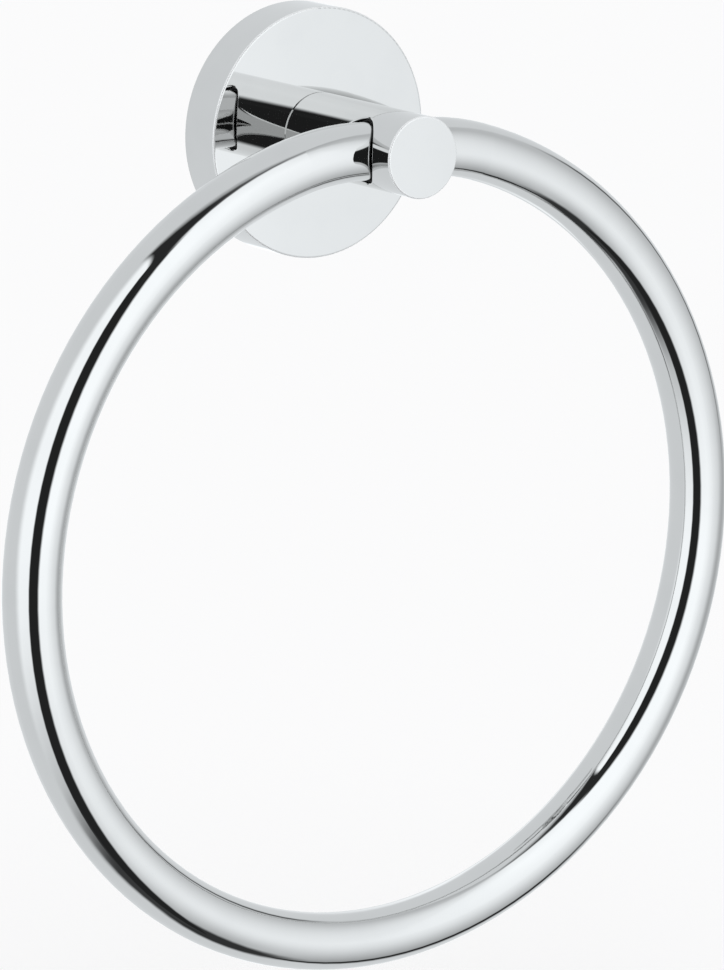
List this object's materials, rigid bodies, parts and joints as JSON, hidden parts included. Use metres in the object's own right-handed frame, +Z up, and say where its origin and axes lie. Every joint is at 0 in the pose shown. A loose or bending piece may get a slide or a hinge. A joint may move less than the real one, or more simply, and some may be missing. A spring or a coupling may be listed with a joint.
{
  "type": "towel ring",
  "caption": "Wall-mounted towel ring: a round tube hoop carried by a short round post on a flat round wall rose, polished metal.",
  "frame": {"origin": "centre of the rose's back, on the wall's surface", "axes": "+Y points into the wall, so the object stands out towards -Y; +Z is up; +X is to the right for someone who faces the wall"},
  "size_m": [0.18, 0.0475, 0.1992],
  "materials": {
    "polished_shell": "mirror chrome plating on turned and cast metal",
    "polished_tube": "mirror chrome plating on bent tube",
    "plain_steel": "plain bright steel",
    "cast_bracket": "dull cast surface, zinc grey",
    "black_liner": "black moulded liner"
  },
  "bodies": {
    "root": {"rose": "polished_shell", "post": "polished_shell", "ring": "polished_tube", "ring_joint_plug": "plain_steel", "ring_bush": "black_liner", "ring_set_screw": "plain_steel", "post_screw": "plain_steel", "post_screw_washer": "plain_steel", "wall_bracket": "cast_bracket", "rose_set_screw": "plain_steel"}
  },
  "joints": []
}
